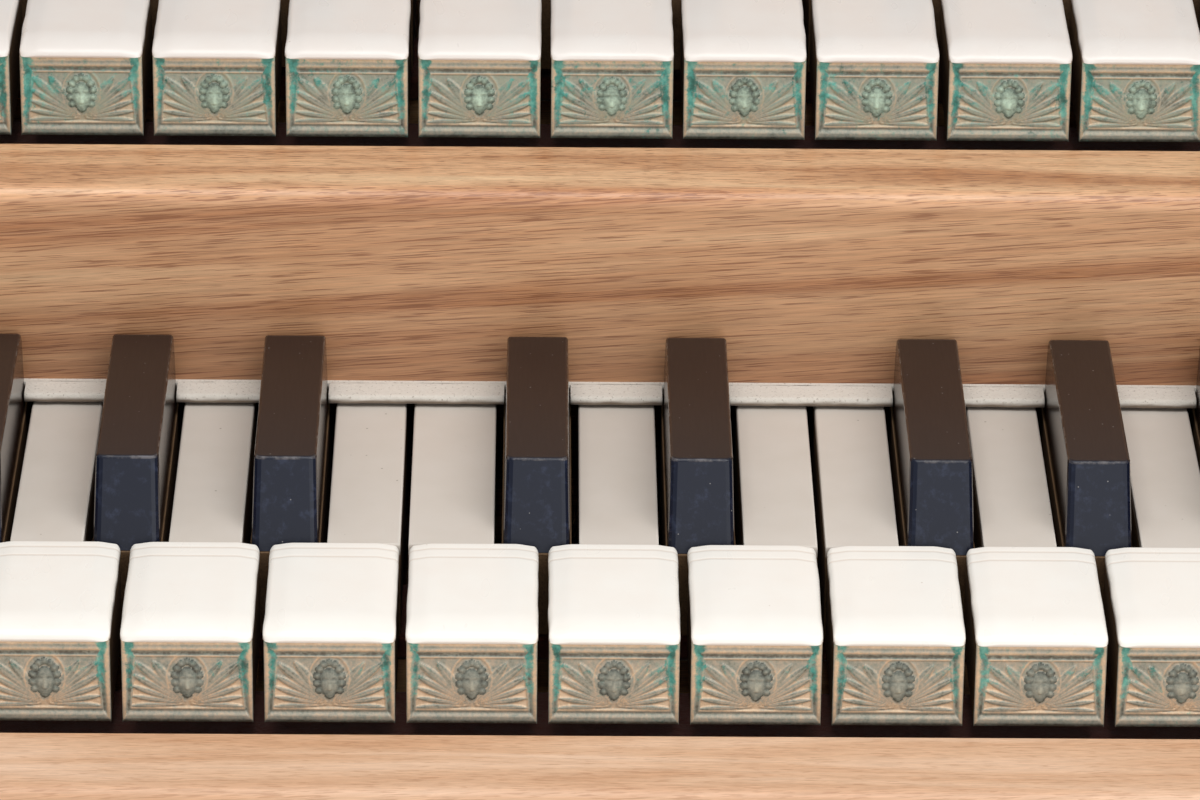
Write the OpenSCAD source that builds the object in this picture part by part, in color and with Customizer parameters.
/* [Keys in plan] */
// Distance from one natural to the next
pitch = 23.5; // [21:0.1:26]
// Gap between two natural heads
head_gap = 1.4; // [0.8:0.1:2]
// Length of a natural head, from its lip to the first sharp
head_len = 32; // [26:0.5:45]
// Radius of a head's front corners
head_corner = 1; // [0.4:0.1:2]
// Gap between the narrow parts of two neighbouring naturals
tail_gap = 1.4; // [1.2:0.1:2.4]
// Width left for a sharp between two naturals
sharp_slot_w = 14.4; // [13.6:0.1:15]
// Distance to the right that C sharp and D sharp stand off their even places
cde_shift = 1; // [0:0.1:1.5]
// Distance from the lip to the board that the keys run under
board_y = 91.6; // [80:0.5:120]
// Distance from the lip to the line on which every key rocks
pivot_y = 190; // [170:1:240]
// Whole length of a key
key_len = 304; // [280:1:360]
// Depth that the lip goes down
dip = 10; // [6:0.5:12]

/* [Natural keys] */
// Thickness of the bone covering on a head
cover_t = 2.6; // [2:0.1:4]
// Radius along the top edges of a head
cover_round = 1.2; // [0.4:0.1:1.6]
// Height by which the narrow part lies below the head
tail_drop = 0.4; // [0:0.1:1]
// Height of the pressed metal front, which is the lever's height too
front_h = 15.2; // [13:0.1:20]
// Thickness of the metal front at its rim
front_t = 1.6; // [1.2:0.1:2.5]
// Distance by which the lip overhangs the metal front
lip_overhang = 0.7; // [0.3:0.1:2]
// Distance by which a head overhangs the sides of the metal front and the lever
side_overhang = 0.3; // [0.1:0.05:0.6]
// Depth of the sunk panel in a metal front
panel_sink = 0.8; // [0.4:0.1:1]
// Width of a front's side frame at the top of its panel
panel_side = 1.9; // [1:0.1:3]
// Distance by which the panel widens on each side towards its foot
panel_flare = 1; // [0:0.1:1.5]
// Distance from the covering down to the panel
panel_down = 2.7; // [2:0.1:4]
// Height of the panel
panel_h = 8.9; // [6:0.1:10]
// Radius of the reeds along a front's foot
reed_r = 0.45; // [0.3:0.05:0.6]
// Number of reeds
reeds = 3; // [1:1:4]
// Thickness of a glue line
glue = 0.1; // [0.05:0.05:0.3]

/* [Sharp keys] */
// Height of a sharp above the natural heads
sharp_h = 12; // [9:0.5:15]
// Width of a sharp along its top
sharp_top_w = 10.6; // [8:0.1:11.4]
// Width of a sharp at its foot
sharp_foot_w = 11.4; // [9:0.1:12]
// Gap on each side of a sharp's lever
sharp_side_gap = 1.3; // [1:0.1:1.8]
// Distance from a natural head to the foot of a sharp
sharp_front_gap = 1.3; // [0.8:0.1:3]
// Distance that the sloping front of a sharp leans back
sharp_lean = 6.6; // [3:0.1:10]
// Distance from the back of a sharp to the board
sharp_back_gap = 1.6; // [1.2:0.1:5]
// Chamfer along the top edges of a sharp
sharp_chamfer = 0.7; // [0.3:0.1:1.5]
// Chamfer down the front edges of a sharp
sharp_edge = 0.8; // [0.3:0.1:1.5]
// Radius at the back end of a sharp's top edge
sharp_back_r = 2; // [0.5:0.1:4]
// Distance that a sharp's lever stands out in front of the sharp
sharp_ledge = 0.5; // [0.1:0.1:1]

/* [Two manuals] */
// Distance that the upper manual stands back from the lower one
manual_step = 115.7; // [112:0.1:130]
// Height of the upper manual above the lower one
manual_rise = 55.6; // [52:0.1:75]
// Distance from a board's top edge down from the naturals that it stands in front of
board_down = 17.4; // [12:0.1:18]
// Distance from the back of a board to the next manual's lip
board_gap = 4; // [2:0.5:8]
// Height of a board's foot above the natural heads
board_foot = 1.8; // [1.4:0.1:4]
// Radius of a board's top front arris
board_arris = 3; // [1:0.5:6]
// Thickness of the front slip below the lower manual
slip_t = 20; // [12:1:30]

/* [Felts] */
// Distance that the dust felt stands out in front of its board
felt_out = 6.6; // [4:0.1:8]
// Distance that the dust felt reaches back under its board
felt_under = 10; // [4:0.5:20]
// Gap between the dust felt and the naturals
felt_clear = 0.5; // [0.3:0.1:1]
// Gap between the dust felt and the sharps that pass through it
felt_notch_gap = 0.5; // [0.3:0.1:1]
// Thickness of the felt strips that the keys rest on
rail_felt_t = 3; // [2:0.5:6]
// Width of a felt strip on a rail
rail_felt_w = 20; // [12:1:26]
// Distance from the edge of a rail to its felt strip
felt_inset = 3; // [1:0.5:4]
// Gap between a felt strip and a key that rests on it
seat_gap = 0.3; // [0.2:0.05:0.5]

/* [Key frames] */
// Radius of the half round ridge that the keys rock on
ridge_r = 4; // [3:0.1:5]
// Gap between the ridge and a key's groove
ridge_gap = 0.3; // [0.2:0.05:0.6]
// Height of the ridge's centre above the balance rail
ridge_up = 1.8; // [1.6:0.1:2.2]
// Width of the balance rail
balance_w = 36; // [24:1:50]
// Width of the front rail
front_rail_w = 62; // [58:1:70]
// Distance from the lip to the front rail
front_rail_y = 8; // [5:0.5:12]
// Width of the back rail
back_rail_w = 26; // [22:1:36]
// Height of the upper frame's underside above the lower naturals
upper_frame_up = 10; // [9:0.5:14]
// Diameter of the balance pins
balance_pin_d = 3; // [2.5:0.1:4]
// Diameter of the guide pins
guide_pin_d = 3; // [2.5:0.1:4]
// Clearance on each side of a pin
pin_side = 0.4; // [0.3:0.05:0.6]
// Clearance before and behind a pin
pin_end = 1.2; // [1:0.1:1.6]
// Height of a balance pin above its key
balance_pin_up = 3; // [1:0.5:6]
// Depth that a pin is driven into its rail
pin_drive = 7; // [5:0.5:9]
// Height of a guide pin inside a key at rest
guide_in = 2.5; // [1.5:0.5:3]
// Distance from the lip to the natural keys' guide pins
natural_guide_y = 38; // [36:0.5:42]
// Distance from the lip to the sharp keys' guide pins
sharp_guide_y = 56; // [50:0.5:60]

/* [Case] */
// Thickness of the key bed
bed_t = 22; // [15:1:40]
// Distance from the lower naturals' tops down to the key bed
bed_down = 44; // [42:0.5:60]
// Thickness of an end cheek
cheek_t = 18; // [12:1:30]
// Gap between the outermost keys and the cheeks
cheek_gap = 1.2; // [0.8:0.1:3]
// Height of a cheek above the naturals beside it
cheek_up = 8; // [4:0.5:20]
// Height of a cheek above the top board
cheek_over = 2; // [0:0.5:10]
// Radius of a cheek's hollow steps and round noses
cheek_r = 14; // [8:0.5:18]
// Distance from the back of the upper keys to the back edge
back_space = 12; // [8:1:40]

/* [Hidden] */
$fn = 48;
eps = 0.01;
// Length by which a cut passes the face that it starts from
over = 1;

// The span runs from F up to B of the next octave but one, in three groups of neighbouring keys
cde_w = 3 * pitch;
fgab_w = 4 * pitch;
span = 2 * fgab_w + cde_w;
group_x = [0, fgab_w, fgab_w + cde_w, span];
group_first = [0, 7, 12];
group_keys = [7, 5, 7];
key_names = [
    "f1", "fs1", "g1", "gs1", "a1", "as1", "b1",
    "c", "cs", "d", "ds", "e",
    "f2", "fs2", "g2", "gs2", "a2", "as2", "b2"
];
keys = len(key_names);
manual_names = ["lower", "upper"];
manuals = [0, 1];

// Place of a key in its group, and its slot between the neighbours' narrow parts
function group_of(k) = k < group_first[1] ? 0 : k < group_first[2] ? 1 : 2;
function place_of(k) = k - group_first[group_of(k)];
function is_sharp(k) = place_of(k) % 2 == 1;
function sharps_in(g) = floor(group_keys[g] / 2);
function group_w(g) = group_x[g + 1] - group_x[g];
function even_w(g) = (group_w(g) - tail_gap - sharps_in(g) * sharp_slot_w) / (sharps_in(g) + 1);
function group_shift(g) = g == 1 ? cde_shift : 0;
function is_last(k) = place_of(k) == group_keys[group_of(k)] - 1;
function natural_w(k) = even_w(group_of(k))
    + (place_of(k) == 0 ? 1 : is_last(k) ? -1 : 0) * group_shift(group_of(k));
function natural_x(k) = place_of(k) / 2 * (even_w(group_of(k)) + sharp_slot_w)
    + (place_of(k) == 0 ? 0 : group_shift(group_of(k)));
function sharp_x(k) = (place_of(k) + 1) / 2 * even_w(group_of(k)) + (place_of(k) - 1) / 2 * sharp_slot_w
    + group_shift(group_of(k)) + sharp_side_gap;
function tail_w(k) = is_sharp(k) ? sharp_slot_w - 2 * sharp_side_gap : natural_w(k);
function tail_x(k) = group_x[group_of(k)] - span / 2 + tail_gap / 2 + (is_sharp(k) ? sharp_x(k) : natural_x(k));
function tail_mid(k) = tail_x(k) + tail_w(k) / 2;
function head_x(k) = group_x[group_of(k)] + place_of(k) / 2 * pitch - span / 2;
function key_name(m, k) = str(manual_names[m], "_key_", key_names[k]);

// Heights are measured from the natural heads of a manual
lever_top = -cover_t;
lever_foot = lever_top - front_h;
dip_angle = asin(dip / pivot_y);
front_face_y = lip_overhang;
lever_y = front_face_y + front_t + glue;
cover_end = board_y;
notch_y = head_len;
sharp_y = notch_y + sharp_front_gap;
sharp_end = board_y - sharp_back_gap;
function drop_at(y) = (pivot_y - y) * sin(dip_angle);

// Rails, felts and pins of one key frame
balance_top = lever_foot - ridge_up;
natural_felt_y = front_rail_y + felt_inset;
sharp_felt_y = front_rail_y + front_rail_w - rail_felt_w - felt_inset;
function stop_z(y) = lever_foot - drop_at(y) - seat_gap;
front_rail_top = stop_z(natural_felt_y) - rail_felt_t;
sharp_felt_t = stop_z(sharp_felt_y) - front_rail_top;
back_felt_y = key_len - rail_felt_w - felt_inset;
back_rail_y = back_felt_y - (back_rail_w - rail_felt_w) / 2;
back_rail_top = lever_foot - seat_gap - rail_felt_t;
function guide_y(k) = is_sharp(k) ? sharp_guide_y : natural_guide_y;
guide_pin_top = lever_foot + guide_in;
function guide_depth(y) = guide_in + drop_at(y) + seat_gap;

// Boards and case
board_back = manual_step - board_gap;
board_top = manual_rise - board_down;
bed_top = -bed_down;
case_front = -board_gap - slip_t;
case_back = manual_step + key_len + back_space;
case_y = case_back - case_front;
rail_len = span + 2 * cheek_gap;
case_w = rail_len + 2 * cheek_t;
origin_z = bed_down + bed_t;
origin_y = (case_front + case_back) / 2;
cheek_top = manual_rise + board_top + cheek_over;

// Puts a piece of a manual in its place over the middle of the key bed's underside
module at_manual(m) {
    translate([0, m * manual_step - origin_y, m * manual_rise + origin_z]) children();
}

// A block across the whole span, between the cheeks
module across(y, z, size_y, size_z) {
    translate([-rail_len / 2, y, z]) cube([rail_len, size_y, size_z]);
}

// Extrudes an outline drawn in y and z over a width along x
module along_x(x, w) {
    translate([x, 0, 0]) rotate([90, 0, 90]) linear_extrude(w) children();
}

// An upright slot with round ends, longer in y than in x
module pin_slot(d, h) {
    linear_extrude(h) {
        square([d + 2 * pin_side, 2 * pin_end], center = true);
        for (s = [-1, 1]) translate([0, s * pin_end]) circle(d = d + 2 * pin_side);
    }
}

// Takes the rocking groove and the pins' mortises out of a lever
module lever_cuts(k) {
    translate([0, pivot_y, lever_foot]) rotate([0, 90, 0])
        cylinder(r = ridge_r + ridge_gap, h = 3 * span, center = true);
    translate([tail_mid(k), pivot_y, lever_foot]) pin_slot(balance_pin_d, front_h + eps);
    translate([tail_mid(k), guide_y(k), lever_foot - eps])
        pin_slot(guide_pin_d, guide_depth(guide_y(k)) + eps);
}

// Plan of a natural: a wide head before its narrow part
module natural_plan(k, head_inset, from_y, to_y) {
    x = head_x(k) + head_gap / 2 + head_inset;
    w = pitch - head_gap - 2 * head_inset;
    translate([x, from_y]) square([w, notch_y - from_y]);
    translate([tail_x(k), notch_y - eps]) square([tail_w(k), to_y - notch_y + eps]);
}

module natural_lever(k) {
    difference() {
        translate([0, 0, lever_foot]) linear_extrude(front_h)
            natural_plan(k, side_overhang, lever_y, key_len);
        lever_cuts(k);
    }
}

// The head of the covering has round front corners and soft top edges
module head_cover(k) {
    x = head_x(k) + head_gap / 2;
    w = pitch - head_gap;
    z = lever_top + glue;
    h = cover_t - glue;
    intersection() {
        translate([x, 0, z]) linear_extrude(h) {
            translate([head_corner, 0]) square([w - 2 * head_corner, head_len]);
            translate([0, head_corner]) square([w, head_len - head_corner]);
            for (s = [head_corner, w - head_corner]) translate([s, head_corner]) circle(head_corner);
        }
        translate([x, head_len, z]) rotate([90, 0, 0]) linear_extrude(head_len) {
            square([w, h - cover_round]);
            translate([cover_round, 0]) square([w - 2 * cover_round, h]);
            for (s = [cover_round, w - cover_round]) translate([s, h - cover_round]) circle(cover_round);
        }
        along_x(x, w) translate([0, z]) {
            square([head_len, h - cover_round]);
            translate([cover_round, 0]) square([head_len - cover_round, h]);
            translate([cover_round, h - cover_round]) circle(cover_round);
        }
    }
}

module tail_cover(k) {
    translate([tail_x(k), head_len + glue, lever_top + glue])
        cube([tail_w(k), cover_end - head_len - glue, cover_t - glue - tail_drop]);
}

// The metal front has a sunk panel that widens downwards, over reeds along its foot
module metal_front(k) {
    w = pitch - head_gap - 2 * side_overhang;
    x = head_x(k) + pitch / 2;
    top = lever_top - panel_down;
    foot = top - panel_h;
    half_top = w / 2 - panel_side;
    half_foot = half_top + panel_flare;
    reed_step = (foot - lever_foot) / reeds;
    difference() {
        translate([x - w / 2, front_face_y, lever_foot]) cube([w, front_t, front_h]);
        translate([x, front_face_y + panel_sink, 0]) rotate([90, 0, 0]) linear_extrude(panel_sink + over)
            polygon([[-half_foot, foot], [half_foot, foot], [half_top, top], [-half_top, top]]);
        translate([x - w, front_face_y - over, lever_foot - over])
            cube([2 * w, over + reed_r, over + foot - lever_foot]);
    }
    for (i = [0 : reeds - 1]) translate([x - w / 2, front_face_y + reed_r, lever_foot + (i + 0.5) * reed_step])
        rotate([0, 90, 0]) cylinder(r = reed_r, h = w);
}

// One whole natural key, its three materials kept apart by a glue line
module natural_key(k) {
    color("#a9845c") natural_lever(k);
    color("#efe9dc") head_cover(k);
    color("#e2d9c4") tail_cover(k);
    color("#9a8166") metal_front(k);
}

module sharp_lever(k) {
    difference() {
        translate([tail_x(k), sharp_y - sharp_ledge, lever_foot])
            cube([tail_w(k), key_len - sharp_y + sharp_ledge, front_h]);
        lever_cuts(k);
    }
}

// The sharp leans back at its front, tapers from its foot to its top, and is chamfered along its edges
module sharp_block(k) {
    z = lever_top + glue;
    h = sharp_h - z;
    len = sharp_end - sharp_y;
    half_top = sharp_top_w / 2;
    half_foot = sharp_foot_w / 2;
    c = sharp_chamfer;
    e = sharp_edge + half_foot - half_top;
    intersection() {
        along_x(tail_mid(k) - half_foot, sharp_foot_w) {
            difference() {
                polygon([
                    [sharp_y, z], [sharp_end, z], [sharp_end, sharp_h],
                    [sharp_y + sharp_lean + c, sharp_h], [sharp_y + sharp_lean * (1 - c / h), sharp_h - c]
                ]);
                translate([sharp_end - sharp_back_r, sharp_h - sharp_back_r]) difference() {
                    square(2 * sharp_back_r);
                    circle(sharp_back_r);
                }
            }
        }
        translate([tail_mid(k), sharp_end, 0]) rotate([90, 0, 0]) linear_extrude(len)
            polygon([
                [-half_foot, z], [half_foot, z], [half_top, sharp_h - c], [half_top - c, sharp_h],
                [-half_top + c, sharp_h], [-half_top, sharp_h - c]
            ]);
        translate([tail_mid(k), sharp_y, z]) rotate([-atan(sharp_lean / h), 0, 0])
            translate([0, 0, -h]) linear_extrude(2 * h + len) polygon([
                [-half_foot, e], [-half_foot + e, 0], [half_foot - e, 0], [half_foot, e],
                [half_foot, h + len], [-half_foot, h + len]
            ]);
    }
}

module sharp_key(k) {
    color("#8d6a49") sharp_lever(k);
    color("#2c2a2e") sharp_block(k);
}

// The balance rail carries a half round ridge, whose centre is the line the keys rock on
module balance_rail(m, foot) {
    color("#b98a5c") at_manual(m) difference() {
        along_x(-rail_len / 2, rail_len) {
            translate([pivot_y - balance_w / 2, foot]) square([balance_w, balance_top - foot]);
            translate([pivot_y, lever_foot]) circle(ridge_r);
        }
        for (k = [0 : keys - 1]) translate([tail_mid(k), pivot_y, balance_top - pin_drive])
            cylinder(d = balance_pin_d, h = pin_drive + 3 * ridge_r);
    }
}

module front_rail(m, foot) {
    color("#b98a5c") at_manual(m) difference() {
        across(front_rail_y, foot, front_rail_w, front_rail_top - foot);
        for (k = [0 : keys - 1]) translate([tail_mid(k), guide_y(k), front_rail_top - pin_drive])
            cylinder(d = guide_pin_d, h = 2 * pin_drive);
    }
}

module back_rail(m, foot) {
    color("#b98a5c") at_manual(m) across(back_rail_y, foot, back_rail_w, back_rail_top - foot);
}

// Strips that stop the naturals and the sharps when they go down, and carry every key's tail at rest
module rail_felts(m) {
    color("#8c2f2a") at_manual(m) {
        across(natural_felt_y, front_rail_top, rail_felt_w, rail_felt_t);
        difference() {
            across(sharp_felt_y, front_rail_top, rail_felt_w, sharp_felt_t);
            for (k = [0 : keys - 1]) if (is_sharp(k)) translate([tail_mid(k), guide_y(k), front_rail_top - eps])
                cylinder(d = guide_pin_d, h = sharp_felt_t + 2 * eps);
        }
        across(back_felt_y, back_rail_top, rail_felt_w, rail_felt_t);
    }
}

// Every key has one balance pin through it and one guide pin under it
module pins(m) {
    color("#c8a85a") at_manual(m) for (k = [0 : keys - 1]) {
        translate([tail_mid(k), pivot_y, balance_top - pin_drive])
            cylinder(d = balance_pin_d, h = pin_drive - balance_top + lever_top + balance_pin_up);
        translate([tail_mid(k), guide_y(k), front_rail_top - pin_drive])
            cylinder(d = guide_pin_d, h = pin_drive - front_rail_top + guide_pin_top);
    }
}

// A board that the keys run under, its top front arris rounded
module board(m) {
    color("#c39264") at_manual(m) along_x(-rail_len / 2, rail_len) difference() {
        translate([board_y, board_foot]) square([board_back - board_y, board_top - board_foot]);
        translate([board_y + board_arris, board_top - board_arris]) difference() {
            translate([-2 * board_arris, 0]) square(2 * board_arris);
            circle(board_arris);
        }
    }
}

// A strip of felt is glued under a board: its round nose stands out, and it is notched round every sharp
module dust_felt(m) {
    foot = felt_clear - tail_drop;
    nose_r = (board_foot - foot) / 2;
    nose_y = board_y - felt_out + nose_r;
    notch_w = sharp_foot_w + 2 * felt_notch_gap;
    notch_front = board_y - felt_out - over;
    color("#d9d3c5") at_manual(m) difference() {
        along_x(-rail_len / 2, rail_len) {
            translate([nose_y, foot + nose_r]) circle(nose_r);
            translate([nose_y, foot]) square([board_y + felt_under - nose_y, board_foot - foot]);
        }
        for (k = [0 : keys - 1]) if (is_sharp(k))
            translate([tail_mid(k) - notch_w / 2, notch_front, foot - over])
                cube([notch_w, sharp_end + felt_notch_gap - notch_front, board_foot - foot + 2 * over]);
    }
}

module key_bed() {
    color("#b07f50") translate([-case_w / 2, -case_y / 2, 0]) cube([case_w, case_y, bed_t]);
}

module front_slip() {
    color("#e0b48c") at_manual(0) along_x(-rail_len / 2, rail_len) difference() {
        translate([case_front, bed_top]) square([slip_t, -board_down - bed_top]);
        translate([case_front + board_arris, -board_down - board_arris]) difference() {
            translate([-2 * board_arris, 0]) square(2 * board_arris);
            circle(board_arris);
        }
    }
}

// Outline of a cheek in y and z: it rises behind each manual in a hollow step under a round nose
module cheek_outline() {
    low = cheek_up;
    mid = manual_rise + cheek_up;
    step_1 = board_y - cheek_r;
    step_2 = manual_step + board_y - cheek_r;
    difference() {
        union() {
            translate([case_front, bed_top]) square([case_y, low - bed_top]);
            translate([step_1, bed_top]) square([case_back - step_1, mid - bed_top]);
            translate([step_2, bed_top]) square([case_back - step_2, cheek_top - bed_top]);
            translate([step_1 - cheek_r, low]) difference() {
                square(cheek_r);
                translate([0, cheek_r]) circle(cheek_r);
            }
            translate([step_2 - cheek_r, mid]) difference() {
                square(cheek_r);
                translate([0, cheek_r]) circle(cheek_r);
            }
        }
        for (p = [[case_front, low], [step_1, mid], [step_2, cheek_top]])
            translate(p + [cheek_r, -cheek_r]) difference() {
                translate([-2 * cheek_r, 0]) square(2 * cheek_r);
                circle(cheek_r);
            }
    }
}

module cheek(side) {
    x = side < 0 ? -case_w / 2 : case_w / 2 - cheek_t;
    color("#b98a5c") at_manual(0) along_x(x, cheek_t) cheek_outline();
}

lower_frame_foot = bed_top;
upper_frame_foot = upper_frame_up - manual_rise;

key_bed();
cheek(-1);  // cheek_left
cheek(1);  // cheek_right
front_slip();
board(0);  // middle_board
board(1);  // top_board
dust_felt(0);  // lower_dust_felt
dust_felt(1);  // upper_dust_felt
front_rail(0, lower_frame_foot);  // lower_front_rail
balance_rail(0, lower_frame_foot);  // lower_balance_rail
back_rail(0, lower_frame_foot);  // lower_back_rail
rail_felts(0);  // lower_rail_felts
pins(0);  // lower_pins
front_rail(1, upper_frame_foot);  // upper_front_rail
balance_rail(1, upper_frame_foot);  // upper_balance_rail
back_rail(1, upper_frame_foot);  // upper_back_rail
rail_felts(1);  // upper_rail_felts
pins(1);  // upper_pins
for (m = manuals, k = [0 : keys - 1])
    at_manual(m) {
        if (is_sharp(k)) sharp_key(k);
        else natural_key(k);
    }
